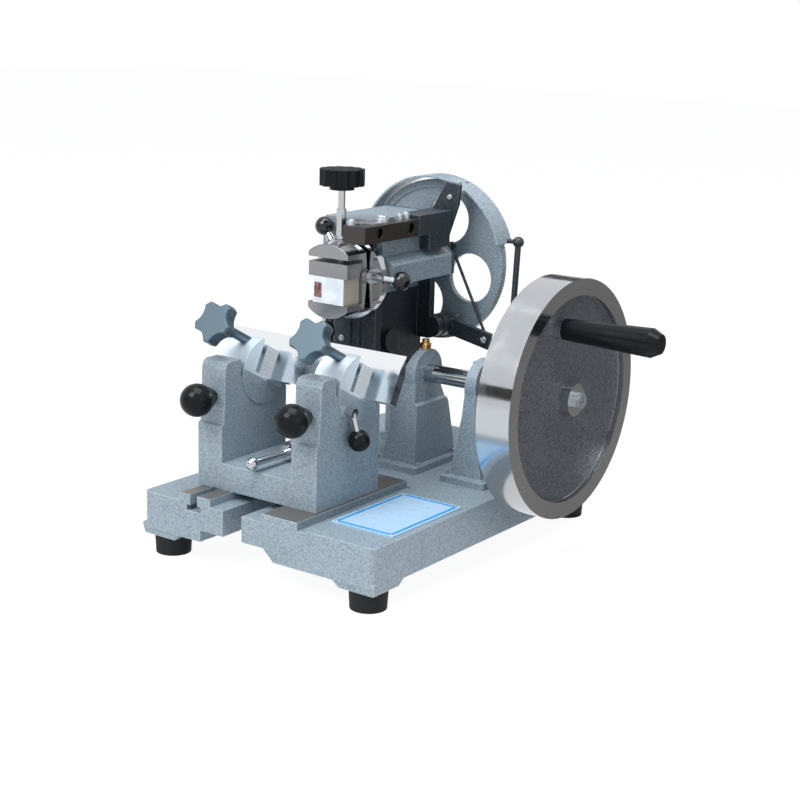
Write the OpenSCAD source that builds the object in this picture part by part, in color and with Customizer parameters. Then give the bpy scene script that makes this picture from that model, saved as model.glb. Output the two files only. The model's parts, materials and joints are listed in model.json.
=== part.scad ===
// Rotary microtome: cast base with knife carriage, vertical specimen slide,
// ratchet feed and hand-driven flywheel.
// Lengths are in millimetres. Inside the modules everything is measured from
// the base's front right corner at table height: X to the left is negative,
// Y runs to the back, Z up.

/* [Base] */
// width of the cast base
base_w = 244; // [240:1:250]
// depth of the cast base
base_d = 348; // [340:1:360]
// height of the deck above the table
deck_z = 57; // [55:0.5:60]
// height of the rubber feet
foot_h = 17; // [14:0.5:20]
// radius of the rubber feet
foot_r = 16; // [12:0.5:18]

/* [Knife carriage] */
// width of the knife carriage
carriage_w = 127; // [124:1:130]
// width of each knife pillar
pillar_w = 26; // [22:0.5:28]
// radius of the tilting rockers
rocker_r = 28; // [26:0.5:29]
// lean of the knife from upright, in degrees
knife_lean = 28; // [20:1:32]
// length of the knife
knife_l = 185; // [160:1:190]

/* [Specimen head] */
// distance of the feed axis from the base's right side
feed_in = 143; // [142:0.5:144]
// height of the feed axis above the table
feed_z = 232; // [230:0.5:234]
// radius of the half-moon vise jaws
vise_r = 32; // [30:0.5:33]
// radius of the head plate
plate_r = 36; // [35:0.5:36.5]

/* [Feed wheel] */
// radius of the ratchet feed wheel
feed_wheel_r = 73.5; // [70:0.5:75]
// thickness of the ratchet feed wheel
feed_wheel_t = 8; // [6:0.5:9]

/* [Flywheel] */
// distance of the main shaft behind the base's front
shaft_y = 210; // [209:0.5:211]
// height of the main shaft above the table
shaft_z = 144; // [143:0.5:145]
// radius of the main shaft
shaft_r = 8; // [7:0.5:9]
// radius of the flywheel
wheel_r = 102; // [96:1:104]
// width of the flywheel's rim
rim_w = 31; // [26:1:34]
// throw of the crank inside, half the specimen's stroke
throw = 27; // [24:0.5:27]

/* [Hidden] */
$fn = 64;
run = 0.05;
seat = 0.3;
handle_out = 137;
knob_out = 2;
right_x = (base_w - handle_out) / 2;
front_y = (knob_out - base_d) / 2;

// base
skirt_z = 23;
strip_z = deck_z - 2;
way_z = deck_z + 5;
wall = 9;
hollow_z = deck_z - 13;
arm_d = 120;
gap_l = -155;
gap_r = -134.6;
foot_in = 19;
left_foot = foot_r + 0.5 - base_w;
slot_x = -187;
slot_w = 8;

// carriage and knife
feed_x = -feed_in;
carriage_x = -143.5;
left_pillar = carriage_x - carriage_w / 2 + pillar_w / 2;
right_pillar = carriage_x + carriage_w / 2 - pillar_w / 2;
carriage_y0 = 28;
carriage_y1 = 112;
floor_z = way_z + 22.5;
rocker_y = 82.5;
rocker_z = 155;
knob_y = 12;
knob_z = 140;
tilt_ball_r = 9.2;
tilt_ball_x = right_pillar + 23.2;
post_y = 80;
slot_bottom = -5.2;
slot_front = 12.5;
slot_back = -15.6;
knife_front = -6.5;
screw_u = 19;
screw_r = 4;

// specimen head
head_y = 120;
vise_d = 27.5;
plate_y = 148.8;
nose_y = 155.2;
ram_y = 160;
housing_y0 = 161;
housing_y1 = 250;
tilt_y = 145;
tilt_z = feed_z + 4;
jaw_z = 235;
vise_x = feed_x - 0.5;
vise_screw_y = 137.5;
lock_y = 151.7;
lock_a = 36;

// rear
wheel_y = housing_y1 + 29;
arm_x = -124;
arm_z = 176;
arm_y = housing_y1 + 18.3;
column_x = feed_x - 22;
column_y = housing_y1 + 6.3;
tooth_n = 180;
guard_y0 = wheel_y - 11;
guard_y1 = wheel_y + 13;
arm_end_x = -79;
arm_end_z = 167;
rod_top_x = -121;
rod_top_z = 247.5;

// flywheel
wheel_x = 17.5;
handle_y = shaft_y - 22.4;
handle_z = shaft_z + 63.8;
crank_x = -137.3;
inner_x = -96;
outer_x = -24;
lever_x = -46;
lever_y = 259.5;
lever_z = 150;
star_r = 18.5;
knob_top = 325.5;

hammer_grey = "#8d9ca6";
dark_casting = "#4b5359";
steel = "#c9ccd0";
bright_steel = "#e3e6ea";
black_plastic = "#17191b";
rubber = "#202224";
brass = "#c08a3e";

// everything is placed from the base's front right corner
module from_corner() {
    translate([right_x, front_y, 0]) children();
}

// a cylinder along X from x0 to x1
module rod_x(x0, x1, r, y, z) {
    translate([x0, y, z]) rotate([0, 90, 0]) cylinder(r = r, h = x1 - x0);
}

// a cylinder along Y from y0 to y1
module rod_y(y0, y1, r, x, z) {
    translate([x, y0, z]) rotate([-90, 0, 0]) cylinder(r = r, h = y1 - y0);
}

// a cylinder along Z from z0 to z1
module rod_z(z0, z1, r, x, y) {
    translate([x, y, z0]) cylinder(r = r, h = z1 - z0);
}

// a block between two corners
module block(a, b) {
    translate(a) cube([b[0] - a[0], b[1] - a[1], b[2] - a[2]]);
}

// an outline in Y and Z, drawn out along X from x0 to x1
module side_shape(x0, x1) {
    translate([x0, 0, 0]) rotate([90, 0, 90]) linear_extrude(height = x1 - x0) children();
}

// an outline in X and Z, drawn out along Y from y0 to y1
module front_shape(y0, y1) {
    translate([0, y1, 0]) rotate([90, 0, 0]) linear_extrude(height = y1 - y0) children();
}

// a rectangle with round corners
module round_rect(w, d, r) {
    translate([r, 0]) square([w - 2 * r, d]);
    translate([0, r]) square([w, d - 2 * r]);
    for (x = [r, w - r]) for (y = [r, d - r]) translate([x, y]) circle(r = r);
}

// a rod with a round end between two points
module strut(a, b, r) {
    d = b - a;
    l = norm(d);
    translate(a)
        rotate([0, acos(d[2] / l), atan2(d[1], d[0])])
            cylinder(r = r, h = l);
}

// tapered corner pad over a foot; sx and sy point to the base's middle
function pad_outline(s) = [
    [-s * (foot_r + 1), foot_h], [s * (foot_r + 1), foot_h], [s * (foot_r + 11), skirt_z + 4],
    [-s * (foot_r + 2.6), skirt_z + 4]
];

module pad(x, y, sx, sy) intersection() {
    front_shape(y - 30, y + 30) translate([x, 0]) polygon(pad_outline(sx));
    side_shape(x - 30, x + 30) translate([y, 0]) polygon(pad_outline(sy));
}

module base_casting() color(hammer_grey) from_corner() difference() {
    union() {
        translate([-base_w, 0, skirt_z])
            linear_extrude(height = strip_z - skirt_z) round_rect(base_w, base_d, 6);
        translate([-71, 0, strip_z - 1])
            linear_extrude(height = deck_z - strip_z + 1) round_rect(71, base_d, 6);
        block([-base_w + 6, arm_d + 30, strip_z - 1], [-60, base_d - 4, deck_z]);
        block([-202, 0, strip_z - 1], [-169, arm_d + 30.5, way_z]);
        block([-113, 0, strip_z - 1], [-77, arm_d + 30.5, way_z]);
        for (y = [foot_in, base_d - foot_in]) {
            sy = y < base_d / 2 ? 1 : -1;
            pad(-foot_in, y, -1, sy);
            pad(left_foot, y, 1, sy);
        }
    }
    // gap between the arms, where the clamp bolt runs
    block([gap_l, -1, 0], [gap_r, arm_d, way_z]);
    // raised undersides beside the gap, for the clamp plate
    front_shape(-1, arm_d)
        polygon([
            [-180, 0], [-180, 33], [gap_l + 1, 33], [gap_r - 1, 33], [-112, 33], [-100, 22],
            [-100, 0]
        ]);
    // hollow underside
    block([-base_w + wall, arm_d + wall, 0], [-wall, base_d - wall, hollow_z]);
    block([-base_w + wall, wall, 0], [-180 - wall, base_d - wall, 40]);
    block([-100 + wall, wall, 0], [-wall, base_d - wall, hollow_z]);
    // T-slot in the left way
    block([slot_x - slot_w / 2, -1, way_z - 9], [slot_x + slot_w / 2, arm_d + 15, way_z + 1]);
    block([slot_x - 8, -1, way_z - 14], [slot_x + 8, arm_d + 15, way_z - 8.9]);
}

module base_feet() color(rubber) from_corner() {
    for (x = [-foot_in, left_foot]) for (y = [foot_in, base_d - foot_in])
        translate([x, y, 0]) cylinder(r1 = foot_r - 1, r2 = foot_r, h = foot_h);
}

module nameplate() color("#9db4e4") from_corner()
    block([-67, 31, deck_z], [-6, 130, deck_z + 1]);

// one bearing pillar: tapered casting with a round head and a foot flange
module bearing(x1, front) color(hammer_grey) from_corner() difference() {
    union() {
        intersection() {
            front_shape(150, 280) polygon([for (p = front) [x1 + p[0], p[1]]]);
            side_shape(x1 - 40, x1 + 5) {
                polygon([
                    [188, deck_z], [252, deck_z], [250, 74], [240, 112], [shaft_y + 20, 130],
                    [shaft_y + 20, shaft_z], [shaft_y - 20, shaft_z]
                ]);
                translate([shaft_y, shaft_z]) circle(r = 21.5);
            }
        }
        translate([x1 + front[0][0] - 6, 181, deck_z])
            linear_extrude(height = 6) round_rect(12 - front[0][0] + front[1][0], 75, 4);
    }
    rod_x(x1 - 60, x1 + 20, shaft_r + run, shaft_y, shaft_z);
}

module inner_bearing() color(hammer_grey) difference() {
    bearing(inner_x, [
        [-38, deck_z], [0, deck_z], [0, 117], [-2.5, 119], [-2.5, 180], [-5, 180], [-21.9, 119]
    ]);
    from_corner() rod_z(shaft_z + 20, shaft_z + 30, 4, inner_x - 6.5, shaft_y);
}

module outer_bearing() {
    bearing(outer_x, [
        [-35, deck_z], [0, deck_z], [-6.5, 85], [-11, 110], [-11, 180], [-19, 180], [-24.5, 117]
    ]);
    // bracket and pin of the throw lever
    color(hammer_grey) from_corner() {
        block([lever_x - 14, lever_y - 37.5, lever_z - 8], [lever_x - 7.5, lever_y, lever_z + 8]);
        block([lever_x - 14, lever_y - 37.5, lever_z - 8], [lever_x + 4, lever_y - 31.5, lever_z + 8]);
        rod_x(lever_x - 14, lever_x - 7.5, 8.2, lever_y, lever_z);
        rod_x(lever_x - 8, lever_x + 6, 3, lever_y, lever_z);
    }
}

module oil_cup() color(brass) from_corner() {
    x = inner_x - 6.5;
    rod_z(shaft_z + 20, shaft_z + 24, 4, x, shaft_y);
    rod_z(shaft_z + 21.6, shaft_z + 26, 5, x, shaft_y);
    rod_z(shaft_z + 25.9, shaft_z + 29.8, 3.4, x, shaft_y);
}

module bearing_bolts() color(steel) from_corner() {
    for (x = [inner_x - 41, inner_x + 3, outer_x - 38, outer_x + 3]) for (y = [189, 248])
        translate([x, y, deck_z + 6]) cylinder(r = 2.6, h = 3.5, $fn = 6);
}

module guide_column() color(hammer_grey) from_corner() {
    block([column_x - 13, column_y, deck_z], [column_x + 13, column_y + 15.7, 222]);
    block([column_x - 5, column_y - 5, deck_z], [column_x + 5, column_y + 0.1, 172]);
    block([column_x - 19, column_y, deck_z], [column_x + 19, column_y + 19.7, deck_z + 8]);
}

module knife_carriage() color(hammer_grey) from_corner() difference() {
    union() {
        for (x = [left_pillar, right_pillar])
            side_shape(x - pillar_w / 2, x + pillar_w / 2)
                polygon([
                    [carriage_y0, way_z], [carriage_y0, 116], [31, 118], [33, 164],
                    [35, 168.5], [38.5, 170], [52, 170], [52, rocker_z],
                    [rocker_y, rocker_z - 10], [rocker_y + 24.5, rocker_z - 13.6],
                    [carriage_y1, rocker_z - 18.5], [carriage_y1, way_z]
                ]);
        block([carriage_x - carriage_w / 2, carriage_y0, way_z],
              [carriage_x + carriage_w / 2, carriage_y1, floor_z]);
        block([slot_x - slot_w / 2 + seat, carriage_y0 + 2, way_z - 7],
              [slot_x + slot_w / 2 - seat, carriage_y1 - 2, way_z + 1]);
    }
    rod_x(-250, -40, rocker_r + run, rocker_y, rocker_z);
    rod_z(way_z - 1, floor_z + 1, 6 + run, carriage_x, post_y);
    for (x = [left_pillar, right_pillar]) rod_y(carriage_y0 - 1, 50, 5 + run, x, knob_z);
}

module carriage_bolt() color(steel) from_corner() {
    rod_z(30, floor_z + 16, 6, carriage_x, post_y);
    block([-170, post_y - 14, 24], [-117, post_y + 14, 33 - seat]);
}

module clamp_lever() color(bright_steel) from_corner() {
    difference() {
        union() {
            rod_z(floor_z + seat, floor_z + 14, 9, carriage_x, post_y);
            rod_y(post_y - 56.5, post_y, 3.2, carriage_x, floor_z + 8);
            rod_y(post_y - 13.5, post_y - 10.5, 6.2, carriage_x, floor_z + 8);
            translate([carriage_x, post_y - 56.5, floor_z + 8]) sphere(r = 5.6);
        }
        rod_z(floor_z, floor_z + 20, 6 + run, carriage_x, post_y);
    }
}

// ball knob with a conical neck and a stud, along Y
module lock_knob(x) color(black_plastic) from_corner()
    translate([x, knob_y, knob_z]) rotate([-90, 0, 0]) {
        sphere(r = knob_y + knob_out);
        translate([0, 0, 8]) cylinder(r1 = 11.5, r2 = 8, h = carriage_y0 - knob_y - 8 - seat);
        translate([0, 0, 9]) cylinder(r = 5, h = 24);
    }

module left_lock_knob() lock_knob(left_pillar);

module right_lock_knob() lock_knob(right_pillar);

// frame of the knife clamp: Z along the knife's lean, Y away from the user
module clamp_frame(x) from_corner()
    translate([x, rocker_y, rocker_z]) rotate([-knife_lean, 0, 0]) children();

module rocker(x) color(hammer_grey) clamp_frame(x) intersection() {
    rod_x(-14, 14, rocker_r, 0, 0);
    block([-15, -30, -30], [15, 30, slot_bottom - 1.8]);
}

module left_rocker() rocker(left_pillar);

module right_rocker() rocker(right_pillar);

module jaw(x) color(steel) clamp_frame(x) difference() {
    intersection() {
        rod_x(-14, 14, rocker_r, 0, 0);
        block([-15, -30, slot_bottom - 1.8], [15, 30, 27]);
    }
    block([-16, -slot_front, slot_bottom], [16, -slot_back, 40]);
    block([-16, 10, 16], [16, 40, 40]);
    rod_y(-40, 0, screw_r + run, 0, screw_u);
}

module left_jaw() jaw(left_pillar);

module right_jaw() jaw(right_pillar);

module knife() color(bright_steel) clamp_frame(carriage_x)
    side_shape(-knife_l / 2, knife_l / 2)
        polygon([
            [-knife_front, slot_bottom], [-knife_front, 23.5], [9.5, 36.5],
            [-slot_back, 20], [-slot_back, slot_bottom]
        ]);

module press_plate(x) color(steel) clamp_frame(x)
    block([-10, -2, slot_bottom + seat], [10, -knife_front, 22]);

module left_press_plate() press_plate(left_pillar);

module right_press_plate() press_plate(right_pillar);

// outline of a five-lobed hand knob
module star(r) difference() {
    circle(r = r);
    for (a = [18 : 72 : 359]) rotate(a)
        translate([1.43 * star_r, 0]) circle(r = 0.7 * star_r + 0.4 * (star_r - r));
}

// star knob on its screw, along the clamp's normal
module clamp_screw(x) color(steel) clamp_frame(x)
    translate([0, 0, screw_u]) rotate([90, 0, 0]) {
        translate([0, 0, 2]) cylinder(r = screw_r, h = 55);
        translate([0, 0, 52.5]) cylinder(r1 = 7, r2 = 10, h = 4);
        translate([0, 0, 56]) linear_extrude(height = 12.5) star(star_r - 0.9);
        translate([0, 0, 57]) linear_extrude(height = 10.3) star(star_r);
    }

module left_clamp_screw() clamp_screw(left_pillar);

module right_clamp_screw() clamp_screw(right_pillar);

// short lever on the right rocker's side, for leaning the knife
module tilt_lever() color(bright_steel) from_corner() difference() {
    union() {
        rod_x(right_pillar + 14, right_pillar + 22, 4, 66, 139.5);
        strut([right_pillar + 20, 66, 139.5], [tilt_ball_x, 70.5, 117], 2.6);
    }
    translate([tilt_ball_x, 70.5, 116]) sphere(r = tilt_ball_r - 0.01);
}

module tilt_ball() color(black_plastic) from_corner()
    translate([tilt_ball_x, 70.5, 116]) sphere(r = tilt_ball_r);

module main_shaft() color(bright_steel) from_corner()
    rod_x(crank_x, wheel_x + rim_w - 5, shaft_r, shaft_y, shaft_z);

module crank_web() color(dark_casting) from_corner() {
    a = 109.3;
    pin = [shaft_y + throw * cos(a), shaft_z + throw * sin(a)];
    difference() {
        union() {
            rod_x(crank_x, crank_x + 5, 14, shaft_y, shaft_z);
            rod_x(crank_x, crank_x + 5, 9.8, pin[0], pin[1]);
            translate([0, shaft_y, shaft_z]) rotate([a, 0, 0])
                block([crank_x, 0, -7], [crank_x + 5, throw, 7]);
        }
        rod_x(crank_x - 1, crank_x + 6, shaft_r, shaft_y, shaft_z);
    }
    rod_x(crank_x - 1.9, crank_x + 1, 4, pin[0], pin[1]);
}

module flywheel() color(steel) from_corner()
    translate([wheel_x, shaft_y, shaft_z]) rotate([0, 90, 0]) difference() {
        cylinder(r = wheel_r, h = rim_w);
        translate([0, 0, rim_w - 5]) cylinder(r = 88, h = 6);
        translate([0, 0, -1]) difference() {
            cylinder(r = 84, h = 15);
            cylinder(r = 22, h = 16);
        }
        translate([0, 0, -1]) cylinder(r = shaft_r, h = rim_w + 2);
        translate([shaft_z - handle_z, handle_y - shaft_y, 0]) cylinder(r = 4, h = rim_w);
    }

module hub_washer() color(bright_steel) from_corner() difference() {
    rod_x(wheel_x + rim_w - 5, wheel_x + rim_w + 3, 14, shaft_y, shaft_z);
    rod_x(wheel_x + rim_w - 6, wheel_x + rim_w + 4, 5, shaft_y, shaft_z);
}

module hub_screw() color(steel) from_corner() difference() {
    union() {
        rod_x(wheel_x + rim_w - 5, wheel_x + rim_w + 3, 5, shaft_y, shaft_z);
        rod_x(wheel_x + rim_w + 3, wheel_x + rim_w + 9, 7, shaft_y, shaft_z);
    }
    translate([wheel_x + rim_w + 6, shaft_y, shaft_z]) rotate([0, 90, 0]) cylinder(r = 3.5, h = 4, $fn = 6);
}

module handle_spindle() color(bright_steel) from_corner() {
    rod_x(wheel_x + rim_w - 12, handle_out - 12, 4, handle_y, handle_z);
    rod_x(wheel_x + rim_w - 5, wheel_x + rim_w + 2, 9, handle_y, handle_z);
}

module handle_grip() color(black_plastic) from_corner()
    translate([wheel_x + rim_w + 2.3, handle_y, handle_z]) rotate([0, 90, 0]) {
        l = handle_out - wheel_x - rim_w - 2.3;
        difference() {
            union() {
                cylinder(r1 = 9, r2 = 12, h = l - 8);
                translate([0, 0, l - 8]) cylinder(r1 = 12, r2 = 8, h = 8);
            }
            translate([0, 0, -1]) cylinder(r = 4 + run, h = l - 10);
        }
    }

module slide_block() color(dark_casting) from_corner() difference() {
    back = column_y - 0.6;
    union() {
        block([column_x - 13, 163, 122], [-140, back, 212]);
        block([column_x - 13, 163, 122], [-124, 171, 212]);
        block([-140.1, housing_y1 - 1, 165], [-126, housing_y1 + 6, 226]);
        block([-150, housing_y1 + 1, 200], [-126, housing_y1 + 6, 226]);
        rod_y(housing_y1, arm_y + 3.5, 5, arm_x, arm_z);
        rod_y(housing_y1 - 1, housing_y1 + 7.5, 9.6, arm_x, arm_z);
        // gib strip on the front
        block([-167.5, 161.2, 131], [-151, 163.1, 200]);
    }
    block([column_x - 5.3, column_y - 5.3, 100], [column_x + 5.3, column_y + 1, 230]);
    // screw recesses of the gib strip and the grooves beside it
    for (z = [140, 174.4]) rod_y(160, 162.4, 3.2, -159.3, z);
    for (x = [-171, -140]) block([x - 1.6, 162, 121], [x + 1.6, 165, 213]);
}

module feed_housing() color(hammer_grey) from_corner() difference() {
    front_shape(housing_y0, housing_y1)
        polygon([
            [-181, 212], [-140, 212], [-140, 227], [-105, 227], [-105, 244.5],
            [-115.6, 252], [-115.6, 266.2], [-128.3, 266.2], [-128.3, 281], [-178, 281],
            [-181, 278]
        ]);
    // channel of the horizontal slide
    block([-165.3, 150, 238.7], [-120.7, housing_y1 - 8, 262.3]);
    // bore of the feed screw
    rod_y(200, housing_y1 + 1, 4.5 + run, feed_x, feed_z);
    // relief over the crank
    block([-140.5, 173, 220], [-131, 248, 234]);
}

module rear_cap() color(dark_casting) from_corner() difference() {
    front_shape(housing_y1, housing_y1 + 5)
        polygon([[-181, 227], [-105, 227], [-105, 244.5], [-115, 252], [-115, 281], [-181, 281]]);
    rod_y(housing_y1 - 1, housing_y1 + 6, 4.5 + run, feed_x, feed_z);
    block([-151, housing_y1 - 1, 220], [-125.8, housing_y1 + 7, 226.2]);
}

module guard_bracket() color(dark_casting) from_corner() {
    block([-128.2, 198.5, 266.3], [-105, housing_y1 - 4, 284]);
    block([-115.3, 214, 252.5], [-105, housing_y1 - 4, 266.4]);
    front_shape(housing_y1 + 5, housing_y1 + 9)
        polygon([[-135, 276], [-116, 253], [-104, 288], [-102, 306], [-116, 308]]);
}

// the band over the feed wheel: an arc about the feed axis
module wheel_guard() color(hammer_grey) from_corner() {
    rg = feed_wheel_r + 2.5;
    intersection() {
        difference() {
            rod_y(guard_y0, guard_y1, rg + 2, feed_x, feed_z);
            rod_y(guard_y0 - 1, guard_y1 + 1, rg, feed_x, feed_z);
        }
        front_shape(guard_y0 - 2, guard_y1 + 2)
            polygon([
                [feed_x, feed_z], [feed_x + 100, feed_z + 30], [feed_x + 100, feed_z + 100],
                [feed_x - 100, feed_z + 100], [feed_x - 100, feed_z + 30]
            ]);
    }
    // lug on the bracket
    intersection() {
        difference() {
            rod_y(housing_y1 + 9, guard_y0 + 1, rg + 2, feed_x, feed_z);
            rod_y(housing_y1 + 8, guard_y0 + 2, rg, feed_x, feed_z);
        }
        block([-116, housing_y1, feed_z], [-105, guard_y0 + 2, feed_z + 90]);
    }
}

module guard_screws() color(steel) from_corner()
    for (y = [guard_y0 + 7, guard_y1 - 6]) {
        a = 70;
        r = feed_wheel_r + 4.5;
        translate([feed_x + r * cos(a), y, feed_z + r * sin(a)])
            rotate([0, 90 - a, 0]) cylinder(r = 2.2, h = 1.5);
    }

module feed_slide() color(steel) from_corner() {
    difference() {
        rod_y(nose_y, ram_y, 34, feed_x, feed_z);
        rod_y(nose_y - 1, ram_y + 1, 8 + run, feed_x, feed_z);
    }
    block([-165, ram_y, 239], [-121, 235, 262]);
}

module feed_block() color(steel) from_corner() difference() {
    block([-128, 119.5, 266.5], [-105, 198, 281]);
    for (y = [140.5, 186]) {
        rod_x(-110, -104, 4.5, y, 274.5);
        rod_x(-115, -104, 2.5, y, 274.5);
    }
}

module block_screws() color(bright_steel) from_corner() {
    rod_z(281, 284.5, 6, -116, 158);
    rod_z(281, 285, 3.3, -123, 124.5);
    for (y = [180, 190]) rod_z(281, 285.5, 3.5, -114, y);
}

module scale_pointer() color(steel) from_corner() difference() {
    union() {
        block([-126, 136, 281], [-109, 152, 282.5]);
        front_shape(130.5, 136.1) polygon([[-126, 281], [-118, 281], [-118, 282.5], [-126, 282.5]]);
    }
}

module feed_wheel() color(hammer_grey) from_corner() difference() {
    union() {
        front_shape(wheel_y, wheel_y + feed_wheel_t)
            translate([feed_x, feed_z])
                polygon([for (i = [0 : tooth_n - 1]) for (k = [0, 1])
                    (feed_wheel_r - 0.8 * k)
                        * [cos(360 * (i + 0.85 * k) / tooth_n), sin(360 * (i + 0.85 * k) / tooth_n)]]);
        rod_y(wheel_y - 2.2, wheel_y + feed_wheel_t + 5, 13, feed_x, feed_z);
    }
    // web between the rim and the hub
    for (y = [wheel_y - 3, wheel_y + feed_wheel_t - 1.5]) difference() {
        rod_y(y, y + 4.5, 66.5, feed_x, feed_z);
        rod_y(y - 1, y + 6, 13, feed_x, feed_z);
    }
    rod_y(wheel_y - 6, wheel_y + feed_wheel_t + 6, 4.5, feed_x, feed_z);
    for (a = [-18 : 90 : 300])
        rod_y(wheel_y - 1, wheel_y + feed_wheel_t + 1, 22.3,
              feed_x + 41 * cos(a), feed_z + 41 * sin(a));
    rod_y(wheel_y - 1, wheel_y + feed_wheel_t + 1, 1.5, feed_x + 27, feed_z - 48);
}

module feed_screw() color(bright_steel) from_corner()
    rod_y(205, wheel_y + feed_wheel_t + 8, 4.5, feed_x, feed_z);

module head_plate() color(bright_steel) from_corner() {
    difference() {
        rod_y(plate_y, nose_y - seat, plate_r, feed_x, feed_z);
        block([feed_x - 40, plate_y - 1, tilt_z - 2.5], [feed_x + 40, plate_y + 1.2, tilt_z + 2.5]);
        translate([feed_x, lock_y, feed_z]) rotate([0, -lock_a, 0]) cylinder(r = 2.2 + run, h = 50);
    }
    rod_y(nose_y - 1, ram_y, 8, feed_x, feed_z);
    // ears of the tilt axis
    for (x = [vise_x - 27, vise_x + 21.4]) difference() {
        union() {
            rod_x(x, x + 5.6, 6, tilt_y, tilt_z);
            block([x, tilt_y, tilt_z - 6], [x + 5.6, plate_y + 2, tilt_z + 6]);
        }
        rod_x(x - 1, x + 7, 3 + run, tilt_y, tilt_z);
    }
}

module vise_body() color(steel) from_corner() difference() {
    union() {
        intersection() {
            rod_y(head_y, head_y + vise_d, vise_r, vise_x, feed_z - 0.5);
            side_shape(vise_x - 21, vise_x + 21)
                polygon([
                    [head_y, 190], [142.4, 190], [head_y + vise_d, tilt_z], [144.2, 270], [head_y, 270]
                ]);
        }
        rod_z(255, feed_z + vise_r + 2, 6, vise_x, vise_screw_y);
    }
    block([vise_x - 22, head_y - 1, 212.5], [vise_x + 22, head_y + vise_d - 6, 251.5]);
    rod_z(240, 270, 3 + run, vise_x, vise_screw_y);
    rod_x(vise_x - 30, vise_x + 30, 3 + run, tilt_y, tilt_z);
    rod_z(190, 210, 2.5 + run, -160, 138);
}

module vise_jaw() color(steel) from_corner()
    block([vise_x - 20.5, head_y, jaw_z + 0.05], [vise_x + 20.5, head_y + vise_d - 6.4, 247.5]);

module vise_screw() color(bright_steel) from_corner() {
    rod_z(247.5, knob_top - 8, 3, vise_x, vise_screw_y);
    rod_z(feed_z + vise_r + 5, knob_top - 34, 4.2, vise_x, vise_screw_y);
}

module vise_knob() color(black_plastic) from_corner() difference() {
    union() {
        rod_z(knob_top - 17.5, knob_top - 13.9, 10.6, vise_x, vise_screw_y);
        translate([vise_x, vise_screw_y, knob_top - 14]) linear_extrude(height = 14) difference() {
            circle(r = 19.2);
            for (a = [0 : 30 : 359]) rotate(a) translate([20.8, 0]) circle(r = 3.2);
        }
    }
    rod_z(knob_top - 20, knob_top - 8, 3, vise_x, vise_screw_y);
}

module specimen_block() color("#efe9dc") from_corner() difference() {
    block([-159, head_y - 0.5, 212.6], [-126, head_y + vise_d - 6.3, jaw_z]);
    block([-157.5, head_y - 1, 217], [-149.5, head_y + 3, 230]);
}

module specimen_tissue() color("#6b3a35") from_corner()
    block([-157.4, head_y - 0.6, 217.1], [-149.6, head_y + 3, 229.9]);

module turn_lock() color(black_plastic) from_corner()
    translate([feed_x, lock_y, feed_z]) rotate([0, -lock_a, 0]) {
        translate([0, 0, 28]) cylinder(r = 2.2, h = 16);
        translate([0, 0, plate_r + seat]) cylinder(r1 = 4.6, r2 = 3.2, h = 8);
        translate([0, 0, 50.3]) sphere(r = 8.2);
    }

module tilt_lock() color(black_plastic) from_corner() {
    rod_x(vise_x - 27, -103, 3, tilt_y, tilt_z);
    strut([-104, tilt_y, tilt_z], [-95, 156, 233.5], 2.6);
    translate([-94.5, 158.5, 233]) sphere(r = 8.3);
}

module lower_lock() color(black_plastic) from_corner() {
    rod_z(186, 208, 2.5, -160, 138);
    translate([-160, 138, 184]) sphere(r = 9);
}

module pawl_arm() color(dark_casting) from_corner() {
    a = atan2(arm_end_z - arm_z, arm_end_x - arm_x);
    l = norm([arm_end_x - arm_x, arm_end_z - arm_z]);
    difference() {
        union() {
            rod_y(housing_y1 + 8.5, arm_y + 3.5, 10.5, arm_x, arm_z);
            translate([arm_x, 0, arm_z]) rotate([0, -a, 0])
                block([0, arm_y, -7.6], [l + 6, arm_y + 3.5, 7.6]);
        }
        rod_y(housing_y1, housing_y1 + 30, 5 + run, arm_x, arm_z);
        rod_y(housing_y1, housing_y1 + 30, 2.5 + run, arm_end_x, arm_end_z);
    }
}

module link_rod() color(dark_casting) from_corner() {
    y = arm_y + 3.8;
    strut([arm_end_x, y + 1.7, arm_end_z], [rod_top_x, y + 1.7, rod_top_z], 1.4);
    rod_y(y, y + 3.4, 4, arm_end_x, arm_end_z);
    rod_y(arm_y, y + 1, 2.5, arm_end_x, arm_end_z);
    rod_y(y, y + 3.4, 4, rod_top_x, rod_top_z);
}

module pawl_lever() color(dark_casting) from_corner() {
    y = housing_y1 + 10;
    difference() {
        union() {
            rod_y(y - 3, y + 7, 8.5, feed_x, feed_z);
            front_shape(y, y + 6)
                polygon([
                    [feed_x, feed_z + 8], [feed_x, feed_z - 4], [rod_top_x, rod_top_z - 5],
                    [rod_top_x, rod_top_z + 5]
                ]);
            rod_y(y, y + 6, 5, rod_top_x, rod_top_z);
            rod_y(y + 5, arm_y + 3.5, 2, rod_top_x, rod_top_z);
        }
        rod_y(y - 10, y + 15, 4.5 + run, feed_x, feed_z);
    }
}

module throw_lever() color(dark_casting) from_corner() difference() {
    union() {
        rod_x(lever_x - 7.2, lever_x + 6, 7, lever_y, lever_z);
        strut([lever_x, lever_y, lever_z], [lever_x, lever_y + 6.8, lever_z + 108], 2.7);
        translate([lever_x, lever_y + 7, lever_z + 110]) sphere(r = 5);
        rod_x(lever_x - 11, lever_x, 2, lever_y + 7, lever_z + 110);
    }
    rod_x(lever_x - 16, lever_x + 14, 3 + run, lever_y, lever_z);
}

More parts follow.
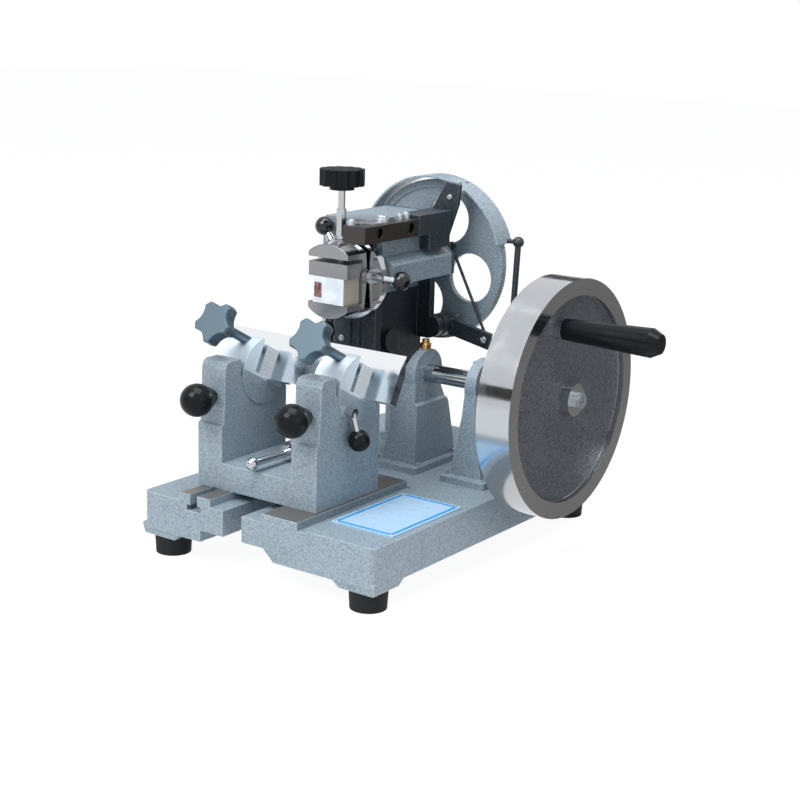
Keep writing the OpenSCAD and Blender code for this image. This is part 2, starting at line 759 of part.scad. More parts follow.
base_casting();
base_feet();
nameplate();
inner_bearing();
outer_bearing();
oil_cup();
bearing_bolts();
guide_column();
knife_carriage();
carriage_bolt();
clamp_lever();
left_lock_knob();
right_lock_knob();
left_rocker();
right_rocker();
left_jaw();
right_jaw();
knife();
left_press_plate();
right_press_plate();
left_clamp_screw();
right_clamp_screw();
tilt_lever();
tilt_ball();
main_shaft();
crank_web();
flywheel();
hub_washer();
hub_screw();
handle_spindle();
handle_grip();
slide_block();
feed_housing();
rear_cap();
guard_bracket();
wheel_guard();
guard_screws();
feed_slide();
feed_block();
block_screws();
scale_pointer();
feed_wheel();
feed_screw();
head_plate();
vise_body();
vise_jaw();
vise_screw();
vise_knob();
specimen_block();
specimen_tissue();
turn_lock();
tilt_lock();
lower_lock();
pawl_arm();
link_rod();
pawl_lever();
throw_lever();
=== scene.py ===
"""Looks of the rotary microtome: finishes for the castings, ground and polished
steel, moulded knobs and wax, small trim that rides on the moving parts, and a
plain studio round it. Lengths are in metres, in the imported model's frame."""

import json
import math

import bmesh
import bpy
from mathutils import Matrix, Vector


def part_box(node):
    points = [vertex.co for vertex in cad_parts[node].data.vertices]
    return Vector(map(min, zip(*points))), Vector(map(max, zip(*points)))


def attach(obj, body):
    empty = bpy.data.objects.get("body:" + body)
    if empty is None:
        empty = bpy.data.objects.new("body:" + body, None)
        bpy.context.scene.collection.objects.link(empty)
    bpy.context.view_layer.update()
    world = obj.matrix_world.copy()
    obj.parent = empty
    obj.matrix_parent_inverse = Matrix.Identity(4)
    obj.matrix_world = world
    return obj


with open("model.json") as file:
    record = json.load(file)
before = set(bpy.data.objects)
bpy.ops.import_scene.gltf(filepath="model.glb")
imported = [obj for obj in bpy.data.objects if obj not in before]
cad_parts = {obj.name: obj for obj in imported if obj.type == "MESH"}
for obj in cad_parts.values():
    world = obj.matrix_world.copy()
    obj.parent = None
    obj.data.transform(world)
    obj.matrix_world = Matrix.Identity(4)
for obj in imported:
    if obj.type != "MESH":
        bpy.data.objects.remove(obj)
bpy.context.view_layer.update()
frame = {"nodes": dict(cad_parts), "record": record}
nodes = frame["nodes"]

# colours, as linear light
HAMMER_LIGHT = (0.37, 0.46, 0.53)
HAMMER_DEEP = (0.22, 0.29, 0.345)
# a painted highlight for the edges of the hammertone paint
HAMMER_EDGE_HIGHLIGHT = (0.66, 0.78, 0.85)
DISC_LIGHT = (0.13, 0.148, 0.17)
DISC_DEEP = (0.05, 0.06, 0.073)
CASTING_DARK = (0.02, 0.027, 0.035)
CASTING_EDGE = (0.055, 0.072, 0.09)
STEEL = (0.54, 0.58, 0.61)
CHROME = (0.5, 0.525, 0.55)
# dark brownish steel, made darker still to paint in the dark reflections on the feed block's
# sides
DARK_STEEL_PAINTED_REFLECTION = (0.085, 0.078, 0.076)
STAR_ENAMEL = (0.13, 0.185, 0.225)
JAW_STEEL = (0.6, 0.69, 0.76)
KNIFE_STEEL = (0.84, 0.87, 0.9)
WAY_STEEL = (0.3, 0.27, 0.25)
VISE_STEEL = (0.33, 0.335, 0.35)
KNOB_BLACK = (0.006, 0.008, 0.01)
RUBBER_BLACK = (0.02, 0.021, 0.022)
LABEL_BLUE = (0.38, 0.56, 0.75)
LINE_BLUE = (0.02, 0.3, 0.72)
BRASS = (0.72, 0.42, 0.16)
WAX = (0.76, 0.81, 0.84)
TISSUE = (0.1, 0.03, 0.03)
TISSUE_PALE = (0.3, 0.15, 0.13)
WAX_CLOUD = (0.62, 0.7, 0.76)
CASSETTE = (0.5, 0.46, 0.38)
CARD_BLACK = (0.05, 0.045, 0.04)
CARD_GREY = (0.12, 0.13, 0.15)
CARD_WARM = (0.2, 0.185, 0.175)

# the CAD's corner measure starts here, in millimetres
CORNER = (53.5, -173.0)
# the flywheel's middle and the edge of its painted disc
WHEEL_CENTRE = (0.0, 0.037, 0.144)
DISC_RADIUS = 0.0876
# the base's ways are bare steel above this height
WAYS_HEIGHT = 0.0619
# past this x of the corner measure, the specimen is its cassette
CASSETTE_X = -126.4
# the nameplate's coloured line: its way in from the edge, width and height
BORDER_MARGIN = 0.0025
BORDER_WIDTH = 0.0025
BORDER_HEIGHT = 0.00025
# a screw head before it is scaled: radius 1
HEAD_HEIGHT = 0.6
HEAD_BEVEL = 0.16
SLOT_HALF = 0.13
SLOT_DEPTH = 0.26


# node helpers

def tone(color):
    """A colour as a socket takes it, fully opaque."""
    return (*color, 1.0)


def feed(tree, socket, value):
    """Links a socket's value in, or sets a plain one."""
    if isinstance(value, bpy.types.NodeSocket):
        tree.links.new(value, socket)
    else:
        socket.default_value = value


def blend_tones(tree, factor, first, second):
    """Mixes two tones, each plain or linked."""
    node = tree.nodes.new("ShaderNodeMix")
    node.data_type = "RGBA"
    feed(tree, node.inputs["Factor"], factor)
    feed(tree, node.inputs["A"], first)
    feed(tree, node.inputs["B"], second)
    return node.outputs["Result"]


def blend_values(tree, factor, first, second):
    """Mixes two numbers, each plain or linked."""
    node = tree.nodes.new("ShaderNodeMix")
    feed(tree, node.inputs["Factor"], factor)
    feed(tree, node.inputs["A"], first)
    feed(tree, node.inputs["B"], second)
    return node.outputs["Result"]


def reckon(tree, operation, first, second):
    """One step of arithmetic on two values."""
    node = tree.nodes.new("ShaderNodeMath")
    node.operation = operation
    feed(tree, node.inputs[0], first)
    feed(tree, node.inputs[1], second)
    return node.outputs["Value"]


def reckon_vector(tree, operation, output, first, second=None):
    """One step of arithmetic on vectors."""
    node = tree.nodes.new("ShaderNodeVectorMath")
    node.operation = operation
    feed(tree, node.inputs[0], first)
    if second is not None:
        feed(tree, node.inputs[1], second)
    return node.outputs[output]


def spread_out(tree, value, low, high):
    """The node that maps the values from low to high onto 0 to 1."""
    node = tree.nodes.new("ShaderNodeMapRange")
    node.inputs["From Min"].default_value = low
    node.inputs["From Max"].default_value = high
    feed(tree, node.inputs["Value"], value)
    return node


# shared effects, each built once as a group

def start_group(name, inputs, outputs):
    """A new group, and what comes into it and goes out of it."""
    group = bpy.data.node_groups.new(name, "ShaderNodeTree")
    for title, kind, *start in inputs:
        socket = group.interface.new_socket(name=title, in_out="INPUT", socket_type=kind)
        if start:
            socket.default_value = start[0]
    for title, kind in outputs:
        group.interface.new_socket(name=title, in_out="OUTPUT", socket_type=kind)
    inside = group.nodes.new("NodeGroupInput").outputs
    outside = group.nodes.new("NodeGroupOutput").inputs
    return group, inside, outside


def build_hammer_dimples():
    """The pitted skin of hammertone paint: a colour, a height and a roughness."""
    group, inside, outside = start_group("hammer_dimples", [
        ("Vector", "NodeSocketVector"),
        ("Scale", "NodeSocketFloat", 600.0),
        ("Light", "NodeSocketColor", tone(HAMMER_LIGHT)),
        ("Deep", "NodeSocketColor", tone(HAMMER_DEEP)),
    ], [
        ("Color", "NodeSocketColor"),
        ("Height", "NodeSocketFloat"),
        ("Roughness", "NodeSocketFloat"),
    ])
    cells = group.nodes.new("ShaderNodeTexVoronoi")
    cells.feature = "SMOOTH_F1"
    cells.inputs["Smoothness"].default_value = 0.6
    cells.inputs["Randomness"].default_value = 1.0
    broad = group.nodes.new("ShaderNodeTexNoise")
    broad.inputs["Scale"].default_value = 14.0
    broad.inputs["Detail"].default_value = 4.0
    link = group.links.new
    link(inside["Vector"], cells.inputs["Vector"])
    link(inside["Scale"], cells.inputs["Scale"])
    link(inside["Vector"], broad.inputs["Vector"])
    pits = spread_out(group, cells.outputs["Distance"], 0.1, 0.75).outputs["Result"]
    cloud = group.nodes.new("ShaderNodeMix")
    cloud.data_type = "RGBA"
    cloud.blend_type = "MULTIPLY"
    cloud.inputs["Factor"].default_value = 0.25
    link(blend_tones(group, pits, inside["Light"], inside["Deep"]), cloud.inputs["A"])
    link(broad.outputs["Fac"], cloud.inputs["B"])
    rough = spread_out(group, pits, 0.0, 1.0)
    rough.inputs["To Min"].default_value = 0.28
    rough.inputs["To Max"].default_value = 0.5
    link(cloud.outputs["Result"], outside["Color"])
    link(pits, outside["Height"])
    link(rough.outputs["Result"], outside["Roughness"])
    return group


def build_ground_lines():
    """Fine parallel grinding marks: a height and a roughness."""
    group, inside, outside = start_group("ground_lines", [
        ("Vector", "NodeSocketVector"),
        ("Stretch", "NodeSocketVector", (900.0, 40.0, 900.0)),
        ("Low", "NodeSocketFloat", 0.18),
        ("High", "NodeSocketFloat", 0.36),
    ], [
        ("Height", "NodeSocketFloat"),
        ("Roughness", "NodeSocketFloat"),
    ])
    marks = group.nodes.new("ShaderNodeTexNoise")
    marks.inputs["Scale"].default_value = 1.0
    marks.inputs["Detail"].default_value = 3.0
    link = group.links.new
    link(reckon_vector(group, "MULTIPLY", "Vector", inside["Vector"], inside["Stretch"]),
         marks.inputs["Vector"])
    rough = spread_out(group, marks.outputs["Fac"], 0.0, 1.0)
    link(inside["Low"], rough.inputs["To Min"])
    link(inside["High"], rough.inputs["To Max"])
    link(marks.outputs["Fac"], outside["Height"])
    link(rough.outputs["Result"], outside["Roughness"])
    return group


def build_handling_marks():
    """Smudges of handling: a roughness from clean to marked, and a height."""
    group, inside, outside = start_group("handling_marks", [
        ("Vector", "NodeSocketVector"),
        ("Scale", "NodeSocketFloat", 60.0),
        ("Clean", "NodeSocketFloat", 0.2),
        ("Marked", "NodeSocketFloat", 0.4),
    ], [
        ("Roughness", "NodeSocketFloat"),
        ("Height", "NodeSocketFloat"),
    ])
    smudge = group.nodes.new("ShaderNodeTexNoise")
    smudge.inputs["Detail"].default_value = 6.0
    smudge.inputs["Roughness"].default_value = 0.65
    link = group.links.new
    link(inside["Vector"], smudge.inputs["Vector"])
    link(inside["Scale"], smudge.inputs["Scale"])
    rough = spread_out(group, smudge.outputs["Fac"], 0.35, 0.7)
    link(inside["Clean"], rough.inputs["To Min"])
    link(inside["Marked"], rough.inputs["To Max"])
    link(rough.outputs["Result"], outside["Roughness"])
    link(smudge.outputs["Fac"], outside["Height"])
    return group


def build_rounded_edges():
    """Softly broken edges: a normal that rolls over them, and a mask where a painted highlight
    goes on them.
    """
    group, inside, outside = start_group("rounded_edges", [
        ("Radius", "NodeSocketFloat", 0.0009),
    ], [
        ("Normal", "NodeSocketVector"),
        ("Mask", "NodeSocketFloat"),
    ])
    roll = group.nodes.new("ShaderNodeBevel")
    roll.samples = 4
    flat = group.nodes.new("ShaderNodeNewGeometry")
    link = group.links.new
    link(inside["Radius"], roll.inputs["Radius"])
    match = reckon_vector(group, "DOT_PRODUCT", "Value",
                          roll.outputs["Normal"], flat.outputs["Normal"])
    link(roll.outputs["Normal"], outside["Normal"])
    link(spread_out(group, match, 0.99, 0.8).outputs["Result"], outside["Mask"])
    return group


hammer_dimples = build_hammer_dimples()
rounded_edges = build_rounded_edges()
ground_lines = build_ground_lines()
handling_marks = build_handling_marks()


# finishes

def start_finish(name, color, metallic=0.0, roughness=0.4):
    """A material, its node tree, its shader and its object coordinates."""
    material = bpy.data.materials.new(name)
    material.use_nodes = True
    tree = material.node_tree
    shader = tree.nodes["Principled BSDF"]
    shader.inputs["Base Color"].default_value = tone(color)
    shader.inputs["Metallic"].default_value = metallic
    shader.inputs["Roughness"].default_value = roughness
    place = tree.nodes.new("ShaderNodeTexCoord")
    return material, tree, shader, place.outputs["Object"]


def use_group(tree, group, vector=None, **values):
    """Places a shared effect in a material, with this finish's own values."""
    node = tree.nodes.new("ShaderNodeGroup")
    node.node_tree = group
    if vector is not None:
        tree.links.new(vector, node.inputs["Vector"])
    for key, value in values.items():
        node.inputs[key].default_value = value
    return node


def relief(tree, shader, height, strength, depth, edges=None):
    """Feeds a height to the shader's normal through one bump node."""
    bump = tree.nodes.new("ShaderNodeBump")
    bump.inputs["Strength"].default_value = strength
    bump.inputs["Distance"].default_value = depth
    tree.links.new(height, bump.inputs["Height"])
    if edges is not None:
        tree.links.new(edges.outputs["Normal"], bump.inputs["Normal"])
    tree.links.new(bump.outputs["Normal"], shader.inputs["Normal"])


def paint_edge_highlight(tree, shader, color, edges, light):
    """Mixes a painted highlight into the base colour along the edges."""
    highlighted = blend_tones(tree, edges.outputs["Mask"], color, tone(light))
    tree.links.new(highlighted, shader.inputs["Base Color"])


def hammertone_paint(name="hammertone_paint", machined=None):
    """Hammertone enamel; above the height machined, bare ground steel."""
    material, tree, shader, place = start_finish(name, HAMMER_LIGHT)
    skin = use_group(tree, hammer_dimples, place)
    edges = use_group(tree, rounded_edges)
    link = tree.links.new
    color, rough = skin.outputs["Color"], skin.outputs["Roughness"]
    if machined is not None:
        split = tree.nodes.new("ShaderNodeSeparateXYZ")
        link(place, split.inputs["Vector"])
        bare = reckon(tree, "GREATER_THAN", split.outputs["Z"], machined)
        lines = use_group(tree, ground_lines, place,
                          Stretch=(700.0, 25.0, 300.0), Low=0.3, High=0.5)
        color = blend_tones(tree, bare, color, tone(WAY_STEEL))
        rough = blend_values(tree, bare, rough, lines.outputs["Roughness"])
        link(bare, shader.inputs["Metallic"])
    # the edges get a painted highlight in the lighter tone
    paint_edge_highlight(tree, shader, color, edges, HAMMER_EDGE_HIGHLIGHT)
    link(rough, shader.inputs["Roughness"])
    shader.inputs["Coat Weight"].default_value = 0.35
    shader.inputs["Coat Roughness"].default_value = 0.18
    relief(tree, shader, skin.outputs["Height"], 0.35, 0.0006, edges)
    return material


def dark_casting_paint():
    """Black enamel over the same pitted casting, with a grey painted highlight at its edges."""
    material, tree, shader, place = start_finish("dark_casting_paint", CASTING_DARK, 0.25)
    skin = use_group(tree, hammer_dimples, place, Scale=700.0,
                     Light=tone(CASTING_EDGE), Deep=tone(CASTING_DARK))
    edges = use_group(tree, rounded_edges)
    # the edges get a grey painted highlight
    paint_edge_highlight(tree, shader, skin.outputs["Color"], edges, HAMMER_DEEP)
    tree.links.new(skin.outputs["Roughness"], shader.inputs["Roughness"])
    relief(tree, shader, skin.outputs["Height"], 0.25, 0.0004, edges)
    return material


def ground_steel(name, color, stretch, low, high):
    """Metal with grinding lines, close together where stretch is large."""
    material, tree, shader, place = start_finish(name, color, 1.0, high)
    lines = use_group(tree, ground_lines, place, Stretch=stretch, Low=low, High=high)
    edges = use_group(tree, rounded_edges, Radius=0.0006)
    tree.links.new(lines.outputs["Roughness"], shader.inputs["Roughness"])
    relief(tree, shader, lines.outputs["Height"], 0.12, 0.0002, edges)
    return material


def polished_steel(name, color, clean, marked):
    """Bright metal, duller where it is handled."""
    material, tree, shader, place = start_finish(name, color, 1.0, clean)
    marks = use_group(tree, handling_marks, place, Scale=45.0, Clean=clean, Marked=marked)
    tree.links.new(marks.outputs["Roughness"], shader.inputs["Roughness"])
    return material


def wheel_finish():
    """Plated rim round a hammertone disc: the two meet at a radius."""
    material, tree, shader, place = start_finish("plated_rim_and_disc", CHROME, 1.0, 0.1)
    skin = use_group(tree, hammer_dimples, place, Light=tone(DISC_LIGHT), Deep=tone(DISC_DEEP))
    marks = use_group(tree, handling_marks, place, Scale=45.0, Clean=0.07, Marked=0.2)
    centred = reckon_vector(tree, "SUBTRACT", "Vector", place, WHEEL_CENTRE)
    across = reckon_vector(tree, "MULTIPLY", "Vector", centred, (0.0, 1.0, 1.0))
    radius = reckon_vector(tree, "LENGTH", "Value", across)
    painted = reckon(tree, "LESS_THAN", radius, DISC_RADIUS)
    color = blend_tones(tree, painted, tone(CHROME), skin.outputs["Color"])
    rough = blend_values(tree, painted, marks.outputs["Roughness"], skin.outputs["Roughness"])
    height = reckon(tree, "MULTIPLY", painted, skin.outputs["Height"])
    link = tree.links.new
    link(color, shader.inputs["Base Color"])
    link(rough, shader.inputs["Roughness"])
    link(reckon(tree, "SUBTRACT", 1.0, painted), shader.inputs["Metallic"])
    relief(tree, shader, height, 0.35, 0.0006)
    return material


def moulded_black(name, color, clean, marked, scale=70.0):
    """Black plastic or rubber with a dim gloss and handling marks."""
    material, tree, shader, place = start_finish(name, color, 0.0, clean)
    marks = use_group(tree, handling_marks, place, Scale=scale, Clean=clean, Marked=marked)
    tree.links.new(marks.outputs["Roughness"], shader.inputs["Roughness"])
    shader.inputs["Specular IOR Level"].default_value = 0.14
    relief(tree, shader, marks.outputs["Height"], 0.08, 0.0003)
    return material


def plate_enamel(name, color, clean, marked):
    """Enamel of the nameplate and its line, slightly uneven."""
    material, tree, shader, place = start_finish(name, color, 0.0, clean)
    marks = use_group(tree, handling_marks, place, Scale=180.0, Clean=clean, Marked=marked)
    tree.links.new(marks.outputs["Roughness"], shader.inputs["Roughness"])
    relief(tree, shader, marks.outputs["Height"], 0.2, 0.0005)
    return material


def mottled(name, ground, patch, scale, rough, side=None, side_color=None):
    """Two tones in soft patches; past the plane side, a third plain tone."""
    material, tree, shader, place = start_finish(name, ground, 0.0, rough)
    patches = tree.nodes.new("ShaderNodeTexNoise")
    patches.inputs["Scale"].default_value = scale
    patches.inputs["Detail"].default_value = 5.0
    link = tree.links.new
    link(place, patches.inputs["Vector"])
    soft = spread_out(tree, patches.outputs["Fac"], 0.4, 0.62).outputs["Result"]
    color = blend_tones(tree, soft, tone(ground), tone(patch))
    if side is not None:
        split = tree.nodes.new("ShaderNodeSeparateXYZ")
        link(place, split.inputs["Vector"])
        past = reckon(tree, "GREATER_THAN", split.outputs["X"], side)
        color = blend_tones(tree, past, color, tone(side_color))
    link(color, shader.inputs["Base Color"])
    relief(tree, shader, patches.outputs["Fac"], 0.2, 0.0004)
    return material


def ball_and_rod(name, centre, radius):
    """A moulded black ball on a plated rod: the two meet at the ball's skin."""
    material, tree, shader, place = start_finish(name, KNOB_BLACK, 0.0, 0.12)
    marks = use_group(tree, handling_marks, place, Scale=60.0, Clean=0.1, Marked=0.26)
    away = reckon_vector(tree, "DISTANCE", "Value", place, centre)
    rod = reckon(tree, "GREATER_THAN", away, radius)
    link = tree.links.new
    link(rod, shader.inputs["Metallic"])
    link(blend_tones(tree, rod, tone(KNOB_BLACK), tone(CHROME)), shader.inputs["Base Color"])
    link(marks.outputs["Roughness"], shader.inputs["Roughness"])
    return material


def corner_place(x, y, z):
    """A point in metres from the millimetres of the CAD's corner measure."""
    return ((x + CORNER[0]) / 1000, (y + CORNER[1]) / 1000, z / 1000)


finishes = {
    "hammer_grey": hammertone_paint(),
    "dark_casting": dark_casting_paint(),
    "machined_steel": ground_steel("ground_steel", STEEL, (60.0, 900.0, 900.0), 0.2, 0.38),
    "polished_steel": polished_steel("polished_knife_steel", KNIFE_STEEL, 0.08, 0.18),
    "bright_steel": polished_steel("bright_plated_steel", CHROME, 0.08, 0.2),
    "zinc_steel": ground_steel("zinc_plated_steel", STEEL, (500.0, 500.0, 500.0), 0.3, 0.5),
    "satin_metal": ground_steel("star_knob_metal", STAR_ENAMEL, (300.0, 300.0, 300.0), 0.34, 0.5),
    "black_plastic": moulded_black("moulded_black", KNOB_BLACK, 0.12, 0.3),
    "black_rubber": moulded_black("foot_rubber", RUBBER_BLACK, 0.55, 0.8, 120.0),
    "pale_blue_label": plate_enamel("enamelled_plate", LABEL_BLUE, 0.25, 0.4),
    "brass": ground_steel("oiled_brass", BRASS, (400.0, 400.0, 400.0), 0.2, 0.4),
}
jaw_steel = ground_steel("jaw_cast_steel", JAW_STEEL, (200.0, 200.0, 200.0), 0.5, 0.62)
node_finishes = {
    "flywheel": wheel_finish(),
    "base_casting": hammertone_paint("hammertone_and_ways", WAYS_HEIGHT),
    # the feed block: dark brownish steel whose colour also carries a painted dark reflection
    "feed_block": ground_steel("dark_steel_painted_reflection", DARK_STEEL_PAINTED_REFLECTION, (40.0, 700.0, 700.0), 0.25, 0.45),
    "specimen_tissue": mottled("stained_tissue", TISSUE, TISSUE_PALE, 420.0, 0.5),
    "specimen_block": mottled("wax_on_cassette", WAX, WAX_CLOUD, 90.0, 0.38,
                              corner_place(CASSETTE_X, 0, 0)[0], CASSETTE),
    "left_jaw": jaw_steel,
    "right_jaw": jaw_steel,
    "vise_jaw": ground_steel("jaw_ground_steel", VISE_STEEL, (40.0, 700.0, 700.0), 0.3, 0.5),
    "vise_body": ground_steel("vise_ground_steel", VISE_STEEL, (60.0, 900.0, 900.0), 0.16, 0.34),
    "turn_lock": ball_and_rod("turn_lock_ball", corner_place(-172.6, 151.7, 272.7), 0.0084),
    "tilt_lock": ball_and_rod("tilt_lock_ball", corner_place(-94.5, 158.5, 233.0), 0.0085),
    "lower_lock": ball_and_rod("lower_lock_ball", corner_place(-160.0, 138.0, 184.0), 0.0092),
}

# each CAD node takes its own finish, or the one of its material slot
slot_of = {part["node"]: part["material_slot"] for part in frame["record"]["subparts"]}
for name, node in nodes.items():
    node.data.materials.clear()
    node.data.materials.append(node_finishes.get(name) or finishes[slot_of[name]])


# small trim, modelled here and riding on the CAD bodies

def start_piece(name):
    """Names the new primitive and opens it in edit mode, all selected."""
    piece = bpy.context.object
    piece.name = name
    bpy.ops.object.transform_apply(location=True, rotation=True, scale=True)
    bpy.ops.object.mode_set(mode="EDIT")
    bpy.ops.mesh.select_mode(type="FACE")
    bpy.ops.mesh.select_all(action="SELECT")
    return piece


def pick_faces(piece, test):
    """Selects the faces whose centre and normal pass the test."""
    bpy.ops.mesh.select_all(action="DESELECT")
    mesh = bmesh.from_edit_mesh(piece.data)
    for face in mesh.faces:
        face.select_set(test(face.calc_center_median(), face.normal))
    bmesh.update_edit_mesh(piece.data)


def end_piece(piece, body, material):
    """Closes edit mode, tidies the normals and gives the piece its carrier."""
    bpy.ops.mesh.select_all(action="SELECT")
    bpy.ops.mesh.remove_doubles(threshold=0.000001)
    bpy.ops.mesh.normals_make_consistent(inside=False)
    bpy.ops.object.mode_set(mode="OBJECT")
    bpy.ops.object.shade_smooth_by_angle(angle=math.radians(35.0))
    piece.data.materials.clear()
    piece.data.materials.append(material)
    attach(piece, body)
    bpy.ops.object.select_all(action="DESELECT")


def copy_piece(source, name, seat, body):
    """A copy with its own mesh, its place put into the mesh."""
    piece = source.copy()
    piece.data = source.data.copy()
    piece.data.transform(seat)
    piece.name = name
    bpy.context.scene.collection.objects.link(piece)
    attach(piece, body)


def add_label_border():
    """The raised coloured line round the bare nameplate."""
    low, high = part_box("nameplate")
    centre = (Vector(low) + Vector(high)) / 2
    bpy.ops.object.select_all(action="DESELECT")
    bpy.ops.mesh.primitive_plane_add(size=1.0, location=(centre.x, centre.y, high[2]))
    width, depth = (high[axis] - low[axis] - 2 * BORDER_MARGIN for axis in (0, 1))
    bpy.ops.transform.resize(value=(width, depth, 1.0))
    piece = start_piece("label_border")
    bpy.ops.mesh.inset(thickness=BORDER_WIDTH)
    bpy.ops.mesh.delete(type="FACE")
    bpy.ops.mesh.select_all(action="SELECT")
    bpy.ops.mesh.extrude_region_move(TRANSFORM_OT_translate={"value": (0.0, 0.0, BORDER_HEIGHT)})
    end_piece(piece, "base",
              plate_enamel("border_enamel", LINE_BLUE, 0.2, 0.35))


def add_screw_head(name, body):
    """A cheese-head screw of radius 1: a rounded rim and a driver slot."""
    bpy.ops.object.select_all(action="DESELECT")
    bpy.ops.mesh.primitive_cylinder_add(
        vertices=40, radius=1.0, depth=HEAD_HEIGHT, location=(0, 0, HEAD_HEIGHT / 2))
    piece = start_piece(name)
    pick_faces(piece, lambda centre, normal: normal.z > 0.9)
    bpy.ops.mesh.bevel(offset=HEAD_BEVEL, segments=3, affect="EDGES")
    for side in (SLOT_HALF, -SLOT_HALF):
        bpy.ops.mesh.select_all(action="SELECT")
        bpy.ops.mesh.bisect(plane_co=(side, 0, 0), plane_no=(1, 0, 0))
    pick_faces(piece, lambda centre, normal: normal.z > 0.5 and abs(centre.x) < SLOT_HALF - 0.01)
    bpy.ops.mesh.extrude_region_move(TRANSFORM_OT_translate={"value": (0.0, 0.0, -SLOT_DEPTH)})
    end_piece(piece, body, finishes["zinc_steel"])
    return piece


def facing(place, normal, radius, turn):
    """The seat of a screw head: its place, facing, size and slot's turn."""
    aim = Vector(normal).to_track_quat("Z", "Y").to_matrix().to_4x4()
    spin = Matrix.Rotation(turn, 4, "Z")
    return Matrix.Translation(place) @ aim @ spin @ Matrix.Scale(radius, 4)


def add_screws():
    """Slotted heads: each with its place, side, radius, turn and body."""
    front = (0.0, -1.0, 0.0)
    up = (0.0, 0.0, 1.0)
    places = [
        ("gib_screw_upper", (-159.3, 162.4, 174.4), front, 0.0028, 0.6, "slide"),
        ("gib_screw_lower", (-159.3, 162.4, 140.0), front, 0.0028, 1.2, "slide"),
        ("strap_screw", (-112.2, 255.0, 294.5), front, 0.0024, 0.4, "slide"),
        ("block_cap_front", (-123.0, 124.5, 284.9), up, 0.0025, 0.3, "slide"),
        ("block_cap_middle", (-116.0, 158.0, 284.4), up, 0.0046, 1.1, "slide"),
        ("block_cap_near", (-114.0, 180.0, 285.4), up, 0.0027, 0.8, "slide"),
        ("block_cap_far", (-114.0, 190.0, 285.4), up, 0.0027, 2.4, "slide"),
        ("arm_end_screw", (-79.0, 268.3, 167.0), front, 0.0032, 0.9, "pawl_carrier"),
        ("label_rivet_fr", (-9.5, 34.5, 58.0), up, 0.0013, 0.2, "base"),
        ("label_rivet_fl", (-63.5, 34.5, 58.0), up, 0.0013, 0.9, "base"),
        ("label_rivet_br", (-9.5, 126.5, 58.0), up, 0.0013, 1.4, "base"),
        ("label_rivet_bl", (-63.5, 126.5, 58.0), up, 0.0013, 2.1, "base"),
    ]
    # the first head is modelled, the rest are its copies, and it moves last
    name, place, normal, radius, turn, body = places[0]
    head = add_screw_head(name, body)
    head_seat = facing(corner_place(*place), normal, radius, turn)
    for name, place, normal, radius, turn, body in places[1:]:
        seat = facing(corner_place(*place), normal, radius, turn)
        copy_piece(head, name, seat, body)
    head.data.transform(head_seat)


add_label_border()
add_screws()


# studio

FLOOR_SIZE = 12.0
CAMERA_PLACE = Vector((0.746, -1.1265, 0.4739))
CAMERA_TURN = 0.6146
CAMERA_DROP = 0.2490
CAMERA_ROLL = 0.0280
CAMERA_LENS = 72.91
WORLD_FILL = 0.34
FLOOR_GLOW = 1.1
FLOOR_GLOW_SHARE = 0.85


def add_camera():
    """The photograph's viewpoint, from its turn, drop and roll."""
    turn = Matrix.Rotation(CAMERA_TURN, 3, "Z")
    drop = Matrix.Rotation(math.pi / 2 - CAMERA_DROP, 3, "X")
    roll = Matrix.Rotation(CAMERA_ROLL, 3, "Z")
    data = bpy.data.cameras.new("camera")
    data.lens = CAMERA_LENS
    data.sensor_width = 36.0
    data.clip_start = 0.05
    data.clip_end = 50.0
    camera = bpy.data.objects.new("camera", data)
    camera.matrix_world = (turn @ drop @ roll).to_4x4()
    camera.location = CAMERA_PLACE
    bpy.context.scene.collection.objects.link(camera)
    bpy.context.scene.camera = camera


def add_lamp(name, place, aim, size, power):
    """A soft rectangular lamp that looks at aim."""
    data = bpy.data.lights.new(name, "AREA")
    data.shape = "RECTANGLE"
    data.size = size[0]
    data.size_y = size[1]
    data.energy = power
    lamp = bpy.data.objects.new(name, data)
    lamp.location = place
    lamp.rotation_euler = (Vector(aim) - Vector(place)).to_track_quat("-Z", "Y").to_euler()
    bpy.context.scene.collection.objects.link(lamp)


def add_world():
    """White where the camera or a reflection sees it, dimmer as light."""
    world = bpy.data.worlds.new("studio")
    bpy.context.scene.world = world
    world.use_nodes = True
    tree = world.node_tree
    tree.nodes.clear()
    seen = tree.nodes.new("ShaderNodeBackground")
    seen.inputs["Color"].default_value = (1.0, 1.0, 1.0, 1.0)
    fill = tree.nodes.new("ShaderNodeBackground")
    fill.inputs["Color"].default_value = (0.9, 0.95, 1.0, 1.0)
    fill.inputs["Strength"].default_value = WORLD_FILL
    rays = tree.nodes.new("ShaderNodeLightPath").outputs
    white = reckon(tree, "MAXIMUM", rays["Is Camera Ray"], rays["Is Glossy Ray"])
    white = reckon(tree, "MAXIMUM", white, rays["Is Transmission Ray"])
    mix = tree.nodes.new("ShaderNodeMixShader")
    out = tree.nodes.new("ShaderNodeOutputWorld")
    link = tree.links.new
    link(white, mix.inputs["Fac"])
    link(fill.outputs["Background"], mix.inputs[1])
    link(seen.outputs["Background"], mix.inputs[2])
    link(mix.outputs["Shader"], out.inputs["Surface"])


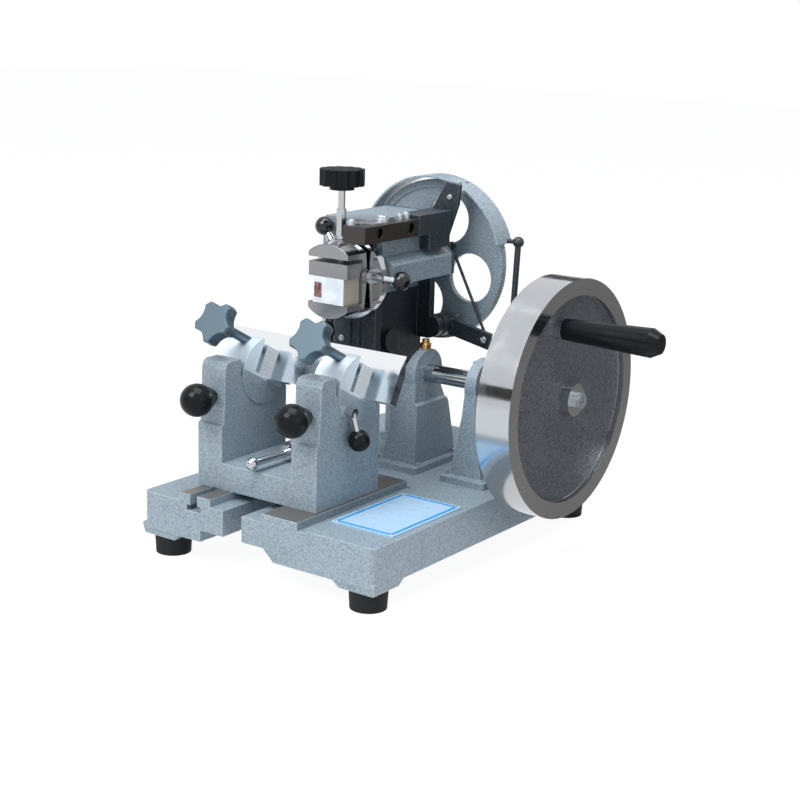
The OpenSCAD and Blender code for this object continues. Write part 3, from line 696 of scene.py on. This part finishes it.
def add_floor():
    """A pale floor that shows white and still takes the object's shadow."""
    bpy.ops.object.select_all(action="DESELECT")
    bpy.ops.mesh.primitive_plane_add(size=FLOOR_SIZE, location=(0, 0, 0))
    floor = bpy.context.object
    floor.name = "studio_floor"
    material = bpy.data.materials.new("pale_floor")
    material.use_nodes = True
    tree = material.node_tree
    shader = tree.nodes["Principled BSDF"]
    shader.inputs["Base Color"].default_value = (0.85, 0.85, 0.85, 1.0)
    shader.inputs["Roughness"].default_value = 0.9
    glow = tree.nodes.new("ShaderNodeEmission")
    glow.inputs["Strength"].default_value = FLOOR_GLOW
    rays = tree.nodes.new("ShaderNodeLightPath").outputs
    seen = reckon(tree, "MAXIMUM", rays["Is Camera Ray"], rays["Is Glossy Ray"])
    mix = tree.nodes.new("ShaderNodeMixShader")
    out = tree.nodes["Material Output"]
    link = tree.links.new
    link(reckon(tree, "MULTIPLY", seen, FLOOR_GLOW_SHARE), mix.inputs["Fac"])
    link(shader.outputs["BSDF"], mix.inputs[1])
    link(glow.outputs["Emission"], mix.inputs[2])
    link(mix.outputs["Shader"], out.inputs["Surface"])
    floor.data.materials.append(material)


def add_dark_card(name, place, aim, size, color):
    """A dark card that only glossy surfaces see, as a studio has."""
    bpy.ops.object.select_all(action="DESELECT")
    bpy.ops.mesh.primitive_plane_add(size=1.0)
    card = bpy.context.object
    card.name = name
    turn = (Vector(aim) - Vector(place)).to_track_quat("Z", "Y").to_matrix().to_4x4()
    card.data.transform(Matrix.Translation(place) @ turn @ Matrix.Diagonal((*size, 1.0, 1.0)))
    material = bpy.data.materials.new("dark_card")
    material.use_nodes = True
    shader = material.node_tree.nodes["Principled BSDF"]
    shader.inputs["Base Color"].default_value = tone(color)
    shader.inputs["Roughness"].default_value = 0.9
    card.data.materials.append(material)
    card.visible_camera = False
    card.visible_diffuse = False
    card.visible_shadow = False


bpy.context.scene.view_settings.view_transform = "Standard"
add_camera()
add_world()
add_floor()
add_dark_card("front_card", (-1.1, -1.5, 0.42), (0, 0, 0.2), (1.0, 0.34), CARD_BLACK)
add_dark_card("back_card", (-1.3, 1.9, 0.75), (0, 0, 0.25), (1.5, 0.7), CARD_GREY)
add_dark_card("right_card", (0.7, 0.85, 0.06), (0.05, 0, 0.2), (1.4, 0.8), CARD_WARM)
add_dark_card("table_card", (0.66, 0.66, 0.004), (0.66, 0.66, 1.0), (1.16, 1.2), CARD_WARM)
add_lamp("key_softbox", (-0.35, -1.75, 1.9), (0, 0, 0.15), (1.3, 1.1), 42.0)
add_lamp("top_softbox", (0.1, -0.2, 1.9), (0, 0, 0.1), (1.4, 1.4), 30.0)
add_lamp("right_softbox", (1.9, -0.5, 1.0), (0, 0, 0.15), (0.9, 1.2), 2.5)
